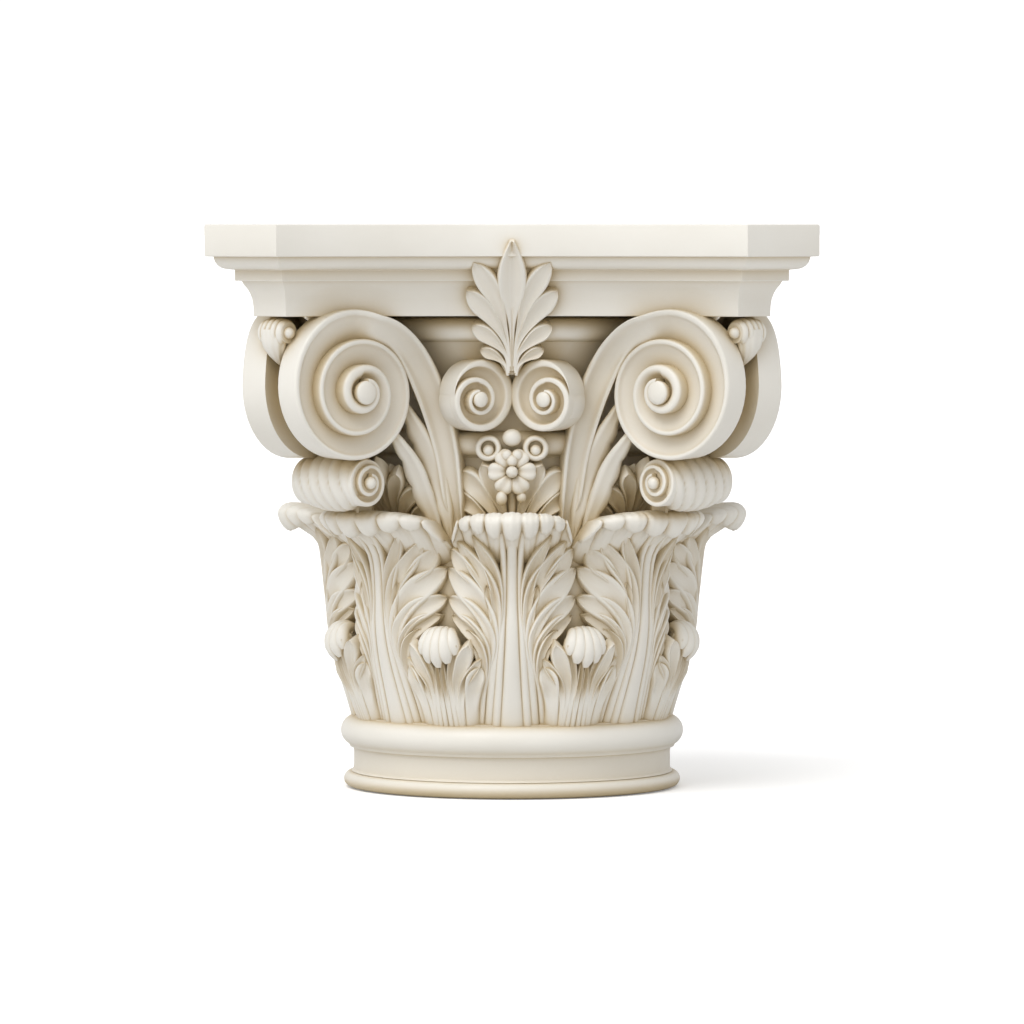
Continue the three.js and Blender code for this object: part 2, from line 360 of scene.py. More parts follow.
def abacus_outline(inset, z, steps=28):
    """The abacus at one height: four hollow sides drawn inwards by inset and the cut corners between."""
    radius = (CORNER_SHORT**2 + SIDE_HOLLOW**2) / (2 * SIDE_HOLLOW)
    centre = CORNER_LONG - SIDE_HOLLOW + radius
    cut = CORNER_LONG + CORNER_SHORT - inset * math.sqrt(2)
    reach = radius + inset
    gap = centre - cut
    end = (math.sqrt(2 * reach * reach - gap * gap) - gap) / 2
    sweep = math.asin(end / reach)
    ring = []
    for side in range(4):
        turn = Matrix.Rotation(side * math.pi / 2, 3, "Z")
        for k in range(steps + 1):
            angle = sweep * (2 * k / steps - 1)
            ring.append(turn @ Vector((reach * math.sin(angle), reach * math.cos(angle) - centre, z)))
        last = ring[-1]
        first = Matrix.Rotation(math.pi / 2, 3, "Z") @ ring[-steps - 1]
        ring += [last.lerp(first, share) for share in (0.04, 0.35, 0.65, 0.96)]
    return ring


def build_abacus(material):
    # Rows of (inset, height), from the underside of the hollow moulding to the flat top.
    profile = [
        (37.6, 421), (34.6, 421), (34.2, 421.6), (34.2, 424), (34.0, 430), (33.2, 436), (31.6, 441),
        (29.6, 445), (27.4, 448), (26.2, 450.6), (25.6, 451.4), (21.6, 451.4), (21.1, 452), (21.1, 460.4),
        (20.6, 461), (15.6, 461.4), (12.2, 462.4), (9.4, 464.4), (7.4, 467.4), (6.5, 470.6), (6.3, 472.2),
        (1.0, 472.4), (0.25, 472.8), (0, 473.8), (0, 486), (0, 498.4), (0.3, 499.5), (1.2, 500), (4, 500),
    ]
    bm = bmesh.new()
    loft(bm, [abacus_outline(inset, z) for inset, z in profile])
    finish_piece(bm, "abacus", material, 30)


def arc(centre_r, centre_z, radius, start, stop, steps=12):
    """Profile points round part of a circle, its angles in degrees up from the outward way."""
    return [
        (centre_r + radius * math.cos(math.radians(start + (stop - start) * k / steps)),
         centre_z + radius * math.sin(math.radians(start + (stop - start) * k / steps)))
        for k in range(steps + 1)
    ]


def build_foot(material):
    profile = [
        (60, 0), (140, 0), (143, 0.5), *arc(143.2, 7.2, 6.6, -75, 100, 14), (143.0, 14.2), (142.4, 15.2),
        (141.2, 16.2), (140.9, 18), (140.9, 32), (141.2, 34.4), (142.0, 35.6), (144.5, 36.4),
        *arc(139.4, 50.4, 13.2, -62, 84, 18), (140.6, 64.2), (141.0, 64.9), (136, 65.3), (120, 66), (60, 66),
    ]
    bm = bmesh.new()
    lathe(bm, profile, 160)
    finish_piece(bm, "foot", material, 40)


def build_bell(material):
    profile = [
        (60, 60), (131, 60), (134, 90), (140, 125), (142, 160), (142, 222), (142, 245), (140.5, 285),
        (139.5, 297), (141, 299), *arc(143, 310, 10.5, -82, 82, 16), (141, 321), (141.2, 330), (143.5, 350),
        (149, 375), (156, 392), (160, 398.5), *arc(161.5, 409, 10.2, -80, 84, 16), (158, 420), (150, 424),
        (60, 424),
    ]
    bm = bmesh.new()
    lathe(bm, profile, 144)
    finish_piece(bm, "bell", material, 40)


# ---------------------------------------------------------------- corner scrolls

SCROLL_EYE = (230, 41, 355.5)  # along the diagonal, across it, up
SCROLL_RADII = [66, 65.5, 61.5, 55.5, 46, 43.5, 37, 31.5, 24, 22, 18, 15.5, 12]
SCROLL_TURN = 7
SCROLL_RISE = 5  # how much further out each turn of a scroll stands
SCROLL_TURNS = 2.98
# A scroll leans out towards its face: the height that this starts at, how far it leans LEAN_RISE above that,
# and how much more it leans for each millimetre past LEAN_SIDE, towards its stem.
LEAN_START = 366
LEAN_RISE = 60
LEAN_REACH = 14
LEAN_SIDE = -134
LEAN_TO_STEM = 0.5
# The middle line of a stem, (along, across, up), half its width, and the way it faces: degrees that its
# normal is turned from the diagonal's own outward way towards the face.
STEM = [
    ((131, 66, 222), 2.0, 24),
    ((134, 66.5, 240), 5.5, 24),
    ((140, 66.5, 262), 9.5, 25),
    ((146, 65.5, 300), 11.2, 27),
    ((153.5, 62.5, 332), 12.6, 33),
    ((163, 59, 361), 13.6, 44),
    ((176, 54.5, 387), 13.4, 58),
    ((192, 50.5, 404), 12.8, 70),
]


def corner_point(along, across, up):
    """A point of the front left corner: along its diagonal, across it towards the front face, and up."""
    return Vector(((across - along) / math.sqrt(2), (-across - along) / math.sqrt(2), up))


def corner_way(degrees):
    """The level direction turned by degrees from the diagonal's outward way towards the front face."""
    a = math.radians(degrees)
    return corner_point(math.cos(a), math.sin(a), 0)


def leant(point):
    """A point of the scroll on the front face, moved out by the scroll's lean."""
    share = max(0.0, (point.z - LEAN_START) / LEAN_RISE) ** 2
    reach = LEAN_REACH + LEAN_TO_STEM * max(0.0, point.x - LEAN_SIDE)
    return point - Vector((0, share * reach, 0))


def stem_sections(disc, across, up, steps=64):
    """The sections of a stem, which end where its disc's sections begin."""
    top_out, top_in, facing = disc[0][:3]
    top = (top_out + top_in) / 2
    half_top = (top_out - top_in).length / 2
    knots = [(corner_point(*c), half, corner_way(turn), 16.0) for c, half, turn in STEM]
    for back, drop, turn in ((20, 4.2, 77), (9, 1.0, 81)):
        spot = top - across * back - up * drop + facing * (back * back * 0.012)
        knots.append((spot, half_top, corner_way(turn), 20.0))
    knots.append((top, half_top, facing, 25.0))
    centres = smooth_line([k[0] for k in knots], steps)
    lengths = [0.0]
    for a, b in zip(knots, knots[1:]):
        lengths.append(lengths[-1] + (b[0] - a[0]).length)
    sections = []
    for k, centre in enumerate(centres[:-1]):
        want = lengths[-1] * k / steps
        n = max(i for i in range(len(knots) - 1) if lengths[i] <= want + 1e-6)
        share = (want - lengths[n]) / (lengths[n + 1] - lengths[n])
        normal = knots[n][2].lerp(knots[n + 1][2], share).normalized()
        half = knots[n][1] + (knots[n + 1][1] - knots[n][1]) * share
        deep = knots[n][3] + (knots[n + 1][3] - knots[n][3]) * share
        run = (centres[k + 1] - centres[max(k - 1, 0)]).normalized()
        side = normal.cross(run).normalized()
        band = mix_profiles(STEM_BAND, CHANNEL, (k / steps - 0.72) / 0.26)
        sections.append((centre - side * half, centre + side * half, normal, deep, 0.0, band))
    return sections


def scroll_half(bm):
    """The disc and the stem on the side of the corner that looks to the front face."""
    eye = corner_point(*SCROLL_EYE)
    across = corner_way(-SCROLL_TURN)
    up = Vector((0, 0, 1))
    disc = scroll_sections(
        eye, across, up, SCROLL_RADII, (0.5, 6), 0.0, SCROLL_TURNS, SCROLL_RISE, 25, -1, CHANNEL, ROUNDED, 0.3
    )
    facing = disc[0][2]
    whole = stem_sections(disc, across, up) + disc
    ribbon(bm, [(leant(outer), leant(inner), *rest) for outer, inner, *rest in whole])
    scroll_knob(bm, eye + facing * (SCROLL_RISE * 2.85), facing, 10.4, 3.4, 14, 24)


# The middle lines of the two bands that grow beside a stem, as ((degrees from the middle of the face,
# distance from the axis, height), half width).
SIDE_BAND = [((24, 148, 226), 2), ((26.5, 153, 246), 6.5), ((28.5, 161, 268), 8.4), ((30, 171, 291), 8.4),
             ((31.5, 184, 309), 6.6), ((32.5, 190, 318), 4)]
INNER_BAND = [((21, 146, 226), 2), ((22.5, 149, 250), 7), ((24.5, 152, 275), 9.5), ((27, 158, 300), 10),
              ((30, 168, 325), 8), ((32, 176, 345), 3)]


def side_band(bm, table, notches):
    """A band between a stem and the corner's own leaf, its outer edge notched like a leaf's."""
    points = []
    for (degrees, far, up), _ in table:
        a = math.radians(degrees)
        points.append(Vector((-far * math.sin(a), -far * math.cos(a), up)))
    steps = 60
    line = smooth_line(points, steps)
    rings = []
    for k, here in enumerate(line):
        run = (line[min(k + 1, steps)] - line[max(k - 1, 0)]).normalized()
        out = Vector((here.x * 0.4, here.y, 0)).normalized()
        side = out.cross(run).normalized()
        half = blend([wide for _, wide in table], k / steps)
        notch = 1 + 0.26 * abs(math.sin(math.pi * notches * k / steps)) ** 0.7
        ring = []
        for n in range(20):
            a = 2 * math.pi * n / 20
            u = math.cos(a) * half * (notch if math.cos(a) > 0 else 1)
            crease = 1.6 * math.exp(-((u / half) / 0.35) ** 2)
            ring.append(here + side * u + out * (math.sin(a) * 5 - crease))
        rings.append(ring)
    loft(bm, rings)


def mirror_corner(bm):
    """Adds the mirror image across the corner's diagonal to all that bm holds."""
    geom = bm.verts[:] + bm.edges[:] + bm.faces[:]
    made = bmesh.ops.duplicate(bm, geom=geom)["geom"]
    for v in (e for e in made if isinstance(e, bmesh.types.BMVert)):
        v.co.x, v.co.y = v.co.y, v.co.x
    bmesh.ops.reverse_faces(bm, faces=[e for e in made if isinstance(e, bmesh.types.BMFace)])


def build_corner_scrolls(material):
    bm = bmesh.new()
    scroll_half(bm)
    side_band(bm, SIDE_BAND, 4)
    side_band(bm, INNER_BAND, 7)
    mirror_corner(bm)
    core = bmesh.ops.create_cone(bm, cap_ends=True, segments=48, radius1=56, radius2=56, depth=22)["verts"]
    turn = corner_way(90).to_track_quat("Z", "Y").to_matrix()
    for v in core:
        v.co = corner_point(218, 0, 363) + turn @ v.co
    around_axis(bm, 4)
    finish_piece(bm, "corner_scrolls", material, 50)


# ---------------------------------------------------------------- inner scrolls

HELIX_EYE = (30, 171, 349)  # across the face, out from the axis, up
HELIX_RADII = [28, 28.5, 31, 31.5, 29.5, 24, 19, 16, 13.5, 11, 8.5]
HELIX_TURN = 31


def build_helices(material):
    bm = bmesh.new()
    offset, out, z = HELIX_EYE
    turn = math.radians(HELIX_TURN)
    eye = Vector((-offset, -out, z))
    across = Vector((math.cos(turn), math.sin(turn), 0))
    up = Vector((0, 0, 1))
    disc = scroll_sections(
        eye, across, up, HELIX_RADII, (6, 3.5), -0.5, 1.98, 3, 26, 1, FILLET, ROUNDED, 0.3
    )
    ribbon(bm, disc)
    facing = disc[0][2]
    scroll_knob(bm, eye + facing * 6, facing, 6.9, 3.4, 14)
    mirror_half(bm)
    around_axis(bm, 4)
    finish_piece(bm, "inner_scrolls", material, 50)


# ---------------------------------------------------------------- leaves

# Surfaces that leaves grow on, as (distance from the axis, height): the face of a blade, and for a small leaf
# the curl of its lip, from the hanging edge up and over to the back.
TALL_BLADE = [(139, 62), (144, 80), (150, 100), (157, 125), (161, 150), (162, 180), (165, 207), (172, 221),
              (182, 232), (192, 240)]
# Fingers on the right side of a tall leaf: ((across, height) along the path, half width of the pipe and of
# the spoon at its end, lift at the tip).
TALL_FINGERS = [
    ([(28.5, 62), (26.5, 90), (25.5, 116), (30, 134), (41, 148)], 3.4, 6.5, 2.6),
    ([(28.5, 62), (26.2, 92), (23, 116), (27, 136), (42, 152), (58, 160)], 3.4, 9.2, 3),
    ([(28, 62), (25.5, 92), (21, 118), (21, 142), (36, 162), (63, 175)], 3.4, 11, 2.8),
    ([(20.8, 62), (18.2, 98), (16.5, 124), (17.5, 142), (23, 161), (37, 180), (64, 199)], 3.6, 12.6, 2.4),
    ([(14.5, 133), (16, 155), (19.5, 172), (22, 188)], 1.4, 3.6, 2.4),
    ([(17.5, 141), (17.5, 163), (26, 182), (40, 198), (59, 212)], 1.6, 9.5, 1.8),
    ([(20.5, 62), (17.8, 98), (14.8, 141), (14.7, 166), (20, 187), (33, 205), (51, 221)], 3.6, 8.6, 2.4),
    ([(20.5, 62), (17.5, 98), (14, 141), (12.4, 167), (14.5, 191), (22, 211), (35, 229)], 3.6, 6.8, 2.0),
]
TALL_PIPE = [(13.8, 62), (11.4, 98), (9, 141), (7.4, 176), (7.4, 210), (10, 238)]
# The hood that ends a tall leaf, from its middle to its side: how far out it reaches, the height of its top,
# and how far its lip hangs.
HOOD = [(209, 253, 26), (208, 252.5, 25), (205, 252, 22), (200, 251, 18), (193, 249, 14.5), (184, 245, 11),
        (168, 228, 8)]
HOOD_LOBES = 9
HOOD_FOOT = 203  # the height at which the hood runs into the blade
HOOD_BACK = 136  # how near the axis the hood goes, inside the bell
# Degrees from the middle of a leaf to the side of its hood, for the leaves on the faces and on the corners.
FACE_REACH = 18.5
CORNER_REACH = 24.3


def rounded_place(surface, reach, drop):
    """Places points on a leaf that falls back towards its sides, by drop at reach from the middle."""
    return lambda u, v, h: surface.place(u, v, h - drop * (u / reach) ** 2)


def spoon_widths(pipe, wide, blunt=0.2):
    """Half widths along a finger: a pipe, a spoon and a blunt tip, which takes the share blunt of it."""
    row = []
    for k in range(31):
        t = k / 30
        half = pipe + (wide - pipe) * ease((t - 0.25) / (0.75 - blunt * 0.5))
        close = limit((t - 1 + blunt) / blunt)
        row.append(half * max(1 - close**1.8, 0.0) ** 0.62 + 0.15)
    return row


LIP_WIDTHS = (0.42, 0.5, 0.62, 0.76, 0.9, 1.02, 1.12, 1.16, 1.0, 0.5)
LIP_CROWNS = (0.7, 0.9, 1, 1.05, 1.1, 1.1, 0.9, 0.2)


def lip(bm, surface, fingers, reach, drop, crown, deep):
    """A curled lip of fingers side by side: each is (place across, half width, height of its tip)."""
    place = rounded_place(surface, reach, drop)
    end = surface.length
    for at, half, tip_z in fingers:
        start = surface.v_at(tip_z) if tip_z > surface.line[0][1] else 0
        rise = end - start
        path = [(at * 0.42, end), (at * 0.62, start + rise * 0.62), (at * 0.92, start + rise * 0.3),
                (at * 1.1, start)]
        for way in both_sides(path) if at else [path]:
            finger(bm, place, way, [half * f for f in LIP_WIDTHS], [crown * f for f in LIP_CROWNS],
                   deep=deep, steps=26)


def hood_line(share):
    """The outline of a hood cut through the axis, as (distance, height): share is -1 to 1 across the leaf."""
    side = min(abs(share), 1.0)
    far, top, hang = (blend([row[n] for row in HOOD], side) for n in range(3))
    lobe = HOOD_LOBES / 2 * side**1.1
    round_lobe = abs(math.cos(math.pi * lobe))
    ridge = round_lobe**0.32
    flute = 1 - abs(math.cos(3 * math.pi * lobe)) ** 0.8
    far -= 2.6 * (1 - ridge)
    hang *= 0.68 + 0.32 * round_lobe**0.6
    nose = min(12.0, hang * 0.55)
    turn_r, turn_z = far - nose, top - hang * 0.42
    groove = 2.6 * (1 - ridge) + 0.8 * flute
    line = [(HOOD_BACK, HOOD_FOOT), (HOOD_BACK, top - 9)]
    for f in (0.3, 0.55, 0.75, 0.9):
        line.append((HOOD_BACK + (turn_r - HOOD_BACK) * f, top - 7 * (1 - f) ** 1.5 - groove * f))
    for n in range(9):
        a = math.pi * (0.5 - n / 8)
        tall = hang * (0.42 if n < 4 else 0.58) - groove
        undercut = 1 - 0.22 * max(0.0, -math.sin(a))
        line.append((turn_r + (nose - groove * 0.6) * math.cos(a) * undercut, turn_z + tall * math.sin(a)))
    last = (turn_r - nose * 0.55, top - hang + hang * 0.14)
    foot = (158 - 23 * side**2, HOOD_FOOT)
    line.append(last)
    for f in (0.25, 0.5, 0.75, 1):
        sag = 3.5 * math.sin(math.pi * f) * (1 - side)
        r = last[0] + (foot[0] - last[0]) * f - sag - groove * (1 - f)
        line.append((r, last[1] + (foot[1] - last[1]) * f))
    return line


def hood(bm, reach):
    """The fluted hood of a tall leaf: it leans out to a lobed lip and falls back to its sides."""
    steps = HOOD_LOBES * 12
    cuts = [(2 * k / steps - 1, 1) for k in range(steps + 1)]
    cuts = [(-1.03, 0.45), (-1.018, 0.85), *cuts, (1.018, 0.85), (1.03, 0.45)]
    rings = []
    for share, size in cuts:
        angle = math.radians(reach * share)
        ring = [Vector((r * math.sin(angle), -r * math.cos(angle), z)) for r, z in hood_line(share)]
        heart = middle_of(ring)
        rings.append([heart.lerp(point, size) for point in ring])
    loft(bm, rings)


def build_tall_leaves(material):
    bm = bmesh.new()
    blade = Surface(TALL_BLADE)
    place = rounded_place(blade, 62, 21)
    widths = [(62, 29), (90, 28), (112, 30), (132, 42), (150, 54), (172, 58), (195, 58), (210, 54), (224, 42),
              (236, 30)]
    sheet(bm, place, [(blade.v_at(z), half) for z, half in widths], -5.5, -13)
    for path, pipe, wide, raised in TALL_FINGERS:
        for way in both_sides([(u, blade.v_at(z)) for u, z in path]):
            finger(bm, place, way, spoon_widths(pipe, wide), (2.6, 3, 3.4, 4.6, 6.6, 7, 4.4),
                   (0, 0, 0.1, 0.45, 0.84, 0.9, 0.7), (0, 0, 0, raised * 0.4, raised, raised * 0.8), deep=9,
                   steps=30 if len(path) > 4 else 16)
    for way in both_sides([(u, blade.v_at(z)) for u, z in TALL_PIPE]):
        finger(bm, place, way, (4.2, 3.8, 3.4, 3.0, 2.8), (3.4, 3.6, 3.2), lift=(0.2, 0.4), deep=9)
    middle = [(0, blade.v_at(z)) for z in (62, 110, 160, 205, 236)]
    finger(bm, place, middle, (11, 8.6, 6.6, 5.5, 4.9, 4.6), (4, 4.6, 4.6, 4.2, 3.6), (0.06, 0.06), deep=9,
           steps=24)
    around_axis(bm, 8)
    hoods = bmesh.new()
    hood(hoods, CORNER_REACH)
    turn_about_axis(hoods, 45)
    hood(hoods, FACE_REACH)
    around_axis(hoods, 4)
    take_in(bm, hoods)
    finish_piece(bm, "tall_leaves", material, 60)


SMALL_BLADE = [(141, 62), (147, 78), (152, 92), (156, 104), (160, 116), (165, 127), (170, 136)]
SMALL_LIP = [(167, 116), (171, 122), (173, 130), (171.5, 139), (165.5, 146), (158, 147.5), (151, 143),
             (148, 134)]
SMALL_FINGERS = [
    ([(20.5, 62), (22.5, 80), (25.5, 93), (29, 104), (35, 115)], 6, 8.4, 3),
    ([(13, 62), (14.5, 84), (18.5, 99), (26, 110), (36, 121)], 2.6, 5, 2.4),
    ([(11.5, 62), (11, 85), (13.5, 103), (20, 119), (28, 135)], 2.8, 7.6, 1.8),
    ([(7.4, 62), (7, 86), (8, 106), (12, 122), (18, 136)], 2.8, 4.2, 0.8),
    ([(2.6, 62), (2.5, 90), (2.6, 124)], 2.7, 2.4, 1),
]
SMALL_SHELL = [(0, 5.2, 116), (8.6, 5.2, 119), (15.6, 4.8, 126)]


def build_small_leaves(material):
    bm = bmesh.new()
    blade = Surface(SMALL_BLADE)
    widths = [(62, 24), (80, 25), (95, 27), (108, 28), (120, 25), (128, 19)]
    place = rounded_place(blade, 34, 8)
    sheet(bm, place, [(blade.v_at(z), half) for z, half in widths], -4, -12)
    for path, pipe, wide, raised in SMALL_FINGERS:
        for way in both_sides([(u, blade.v_at(z)) for u, z in path]):
            finger(bm, place, way, spoon_widths(pipe, wide), (2.8, 3.2, 4, 5.4, 5.8, 3.6),
                   (0, 0.1, 0.45, 0.86, 0.88, 0.5), (0, 0, 0.3, raised, raised), deep=8, steps=20)
    curl = Surface(SMALL_LIP)
    rows = [(0.06, 5), (0.15, 9), (0.3, 13), (0.5, 14.5), (0.75, 14), (1, 12)]
    sheet(bm, rounded_place(curl, 19, 5), [(f * curl.length, half) for f, half in rows], -1.5, -8)
    lip(bm, curl, SMALL_SHELL, 19, 6, 4, 5)
    around_axis(bm, 8, 22.5)
    finish_piece(bm, "small_leaves", material, 60)


CORNER_LEAF = [(140, 218), (147, 240), (155, 258), (167, 274), (184, 287), (203, 296)]
CORNER_FINGERS = [
    ([(12, 222), (20, 236), (32, 247), (45, 254)], 3, 7.6, 2),
    ([(9, 222), (14, 243), (26, 260), (43, 270)], 2.6, 8, 2),
    ([(6, 222), (9, 248), (18, 268), (34, 284)], 2.6, 7.6, 1.6),
    ([(3, 222), (4, 250), (10, 272), (23, 292)], 2.6, 6.6, 1),
]
BACK_LEAF = [(143, 220), (147, 245), (150, 268), (154, 284), (160, 296)]
BACK_FINGERS = [
    ([(18, 222), (28, 232), (42, 240), (55, 244)], 3, 8, 1.6),
    ([(13, 222), (22, 242), (38, 257), (56, 264)], 3, 9.5, 1.6),
    ([(8, 222), (14, 246), (28, 268), (46, 285)], 3, 11, 1.6),
    ([(4, 222), (7, 248), (15, 272), (26, 293)], 3, 9.5, 1.6),
]


def build_upper_leaves(material):
    """The leaves behind the flowers, and those on the diagonals that rise to the fluted rolls."""
    bm = bmesh.new()
    turned = bmesh.new()
    kinds = ((bm, BACK_LEAF, BACK_FINGERS, 42), (turned, CORNER_LEAF, CORNER_FINGERS, 30))
    for into, spine, fingers, half in kinds:
        blade = Surface(spine)
        place = rounded_place(blade, 50, 8)
        top = fingers[-1][0][-1][1] - 6
        rows = [(218, half * 0.6), (232, half * 0.95), (250, half * 1.08), (top - 12, half),
                (top - 3, half * 0.7)]
        sheet(into, place, [(blade.v_at(z), wide) for z, wide in rows], -1, -10)
        for path, pipe, wide, raised in fingers:
            for way in both_sides([(u, blade.v_at(z)) for u, z in path]):
                finger(into, place, way, spoon_widths(pipe, wide), (3, 4, 6, 6.4, 4),
                       (0, 0.3, 0.8, 0.88, 0.5), (0, 0, raised, raised), deep=7, steps=20)
        finger(into, place, [(0, blade.v_at(222)), (0, blade.v_at(top))], (4, 3, 4, 3), (4, 4, 3), deep=7)
    turn_about_axis(turned, 45)
    take_in(bm, turned)
    around_axis(bm, 4)
    finish_piece(bm, "upper_leaves", material, 60)


# ---------------------------------------------------------------- rolls, buds, palmettes and flowers


def barrel(bm, centre, radius, half, ridges, height, gather, around=48, sweep=0.0):
    """A fluted roll lying across a corner.

    centre is (along, up), height that of the ridges. gather narrows the roll underneath, and sweep bends
    the ridges.
    """
    steps = ridges * 8
    rings = []
    for k in range(steps + 1):
        share = 2 * k / steps - 1
        body = radius * math.sqrt(max(1 - 0.42 * abs(share) ** 2.6, 0.02)) - height
        ring = []
        for n in range(around):
            a = 2 * math.pi * n / around
            wave = math.sin(math.pi * (ridges * k / steps + sweep * math.sin(a)))
            size = body + height * abs(wave) ** 0.6
            low_side = max(0.0, math.cos(a - math.radians(235))) ** 1.5
            across = half * share * (1 - gather * low_side)
            along, up = centre[0] + size * math.cos(a), centre[1] + size * math.sin(a)
            ring.append(corner_point(along, across, up))
        rings.append(ring)
    loft(bm, rings)


ROLL_CENTRE = (213, 277)  # along the diagonal, up
ROLL_RADII = [21, 21, 20.5, 19, 15.5, 13.5, 11.5, 10, 8]


def build_rolls(material):
    bm = bmesh.new()
    along, up = ROLL_CENTRE
    end = scroll_sections(
        corner_point(along, 37, up), corner_way(0), Vector((0, 0, 1)), ROLL_RADII, (0, 0), 0.0, 1.98, 2.2, 9,
        -1, FILLET, ROUNDED, 0.6
    )
    ribbon(bm, [(*rest, [(f, h * 0.55) for f, h in profile]) for *rest, profile in end])
    scroll_knob(bm, corner_point(along, 40, up), corner_way(90), 5.6, 5, 5)
    mirror_corner(bm)
    barrel(bm, ROLL_CENTRE, 26, 37, 6, 2.6, 0.45, sweep=0.45)
    # The small block that the roll rests on.
    block = bmesh.ops.create_cube(bm, size=1)["verts"]
    for v in block:
        v.co = corner_point(191 + v.co.x * 18, v.co.y * 21, 254 + v.co.z * 20)
    edges = list({e for v in block for e in v.link_edges})
    bmesh.ops.bevel(bm, geom=edges, offset=1.6, segments=3, affect="EDGES", profile=0.5, material=-1)
    around_axis(bm, 4)
    finish_piece(bm, "fluted_rolls", material, 55)


BUD_CENTRE = (285, 407)  # along the diagonal, up
# The bud's hanging part, as rows of (along, up, half width).
BUD = [(288, 410, 12), (288.5, 402, 12.5), (288, 394, 10.5), (286, 387, 7), (283, 381, 3), (281, 378, 0.4)]


def build_buds(material):
    bm = bmesh.new()
    barrel(bm, BUD_CENTRE, 13, 15, 5, 1.8, 0.4, 36)
    rings = []
    for along, up, wide in BUD:
        ring = []
        for n in range(40):
            a = 2 * math.pi * n / 40
            size = wide * (1 + 0.09 * abs(math.sin(5 * a)))
            ring.append(corner_point(along + size * 0.85 * math.cos(a) - 1, size * math.sin(a), up))
        rings.append(ring)
    loft(bm, rings)
    along, up = BUD_CENTRE
    for side in (1, -1):
        ring = []
        for n in range(24):
            a = 2 * math.pi * n / 24
            ring.append(corner_point(along + 9 * math.cos(a), side * 15, up + 9 * math.sin(a)))
        loft(bm, [[p - corner_way(90) * side * 4 for p in ring], ring])
        scroll_knob(bm, corner_point(along + 1, side * 16, up), corner_way(90), 5.2, 5.2, 5.2)
    around_axis(bm, 4)
    finish_piece(bm, "corner_buds", material, 55)


PALMETTE = [(162, 366), (166, 384), (172, 402), (180, 421), (191, 444), (202, 466), (210, 481), (214, 490)]
PALMETTE_FINGERS = [
    ([(3.6, 370), (6, 379), (14, 387), (27, 393)], 1.6, 6.4, 0.6),
    ([(3, 372), (5.5, 388), (17, 402), (34, 414)], 1.8, 8.8, 1.2),
    ([(2.4, 374), (5, 396), (17, 421), (38.5, 445)], 1.8, 10.6, 1.8),
    ([(1.6, 378), (4.2, 404), (13.5, 438), (32.5, 470)], 1.8, 10.4, 2.4),
]


PALMETTE_MIDDLE = (1.6, 1.6, 1.8, 2.2, 3, 5, 8.4, 11.4, 12.8, 12.8, 11, 7.4, 2)  # half widths, upwards


def build_palmettes(material):
    bm = bmesh.new()
    blade = Surface(PALMETTE)
    rows = [(370, 5), (384, 13), (400, 22), (420, 26), (440, 28), (456, 24), (470, 13), (480, 4)]
    sheet(bm, blade.place, [(blade.v_at(z), half) for z, half in rows], -1, -24)
    for path, pipe, wide, raised in PALMETTE_FINGERS:
        for way in both_sides([(u, blade.v_at(z)) for u, z in path]):
            finger(bm, blade.place, way, spoon_widths(pipe, wide, 0.26), (3.2, 3.6, 4.6, 5.6, 4.2),
                   (0, 0.2, 0.7, 0.88, 0.6), (0, 0, raised, raised, raised), deep=8, steps=22)
    middle = [(0, blade.v_at(z)) for z in (374, 400, 430, 455, 487)]
    finger(bm, blade.place, middle, PALMETTE_MIDDLE, (3.2, 3.6, 4.8, 6, 4.4), (0, 0.1, 0.3, 0.8, 0.88, 0.6),
           (0, 1, 3, 3), crease=0.2, deep=10, steps=34)
    around_axis(bm, 4)
    finish_piece(bm, "palmettes", material, 55)


def ring_of(bm, centre, major, minor, steps=28, around=12):
    """A ring facing the front."""
    rings = []
    for k in range(steps):
        a = 2 * math.pi * k / steps
        way = Vector((math.cos(a), 0, math.sin(a)))
        ring = []
        for n in range(around):
            b = 2 * math.pi * n / around
            out = Vector((0, minor * 1.3 * math.sin(b), 0))
            ring.append(Vector(centre) + way * (major + minor * math.cos(b)) + out)
        rings.append(ring)
    loft(bm, rings, closed_row=True)


def build_flowers(material):
    bm = bmesh.new()
    ball(bm, (0, -159, 315.5), 8.6, (1, 0.8, 0.88))
    for side in (-1, 1):
        ring_of(bm, (side * 20.5, -158, 306.5), 8.8, 2.7)
        ball(bm, (side * 20.5, -158, 304.5), 4.9)
        ball(bm, (side * 20.5, -151, 306.5), 9.5, (1, 0.5, 1))
        ball(bm, (side * 4.4, -161, 300.5), 5, (1, 0.9, 1))
    ball(bm, (0, -162, 295.5), 5.4, (0.9, 0.9, 1))
    for k in range(6):
        a = math.radians(60 * k + 30)
        petal = ball(bm, (0, 0, 0), 1, segments=20)
        turn = Matrix.Rotation(a, 3, "Y")
        for v in petal:
            dent = 2.2 * math.exp(-((v.co.x / 0.3) ** 2)) if v.co.y < 0 else 0
            shape = Vector((v.co.x * 7.9 * (1 + 0.25 * v.co.z), v.co.y * 4.4 + dent, v.co.z * 8.6 + 12.8))
            v.co = turn @ shape + Vector((0, -160.5, 286))
    heart = ball(bm, (0, -165, 286), 5.2, (1, 0.8, 1))
    for v in heart:
        spread = math.atan2(v.co.z - 286, v.co.x)
        v.co.y += 0.5 * math.cos(5 * spread) * min(1, math.hypot(v.co.x, v.co.z - 286) / 3)
    ball(bm, (-9, -160, 263), 5.2, (0.95, 0.9, 1.25))
    ball(bm, (8, -158, 264), 4.2, (1, 0.9, 1.2))
    around_axis(bm, 4)
    finish_piece(bm, "flowers", material, 60)


# ---------------------------------------------------------------- finish

CREAM = (0.70, 0.672, 0.61, 1)
PALE_CREAM = (0.74, 0.716, 0.658, 1)
# The two tan colours below: the first is the glazing the real piece keeps in its hollows, also laid on more
# strongly as painted shade there; the second is painted shade in the deeper recesses, tinted like the
# glazing.
TAN_GLAZE_AND_SHADE = (0.56, 0.445, 0.275, 1)
DEEP_SHADE_AND_GLAZE = (0.52, 0.42, 0.25, 1)


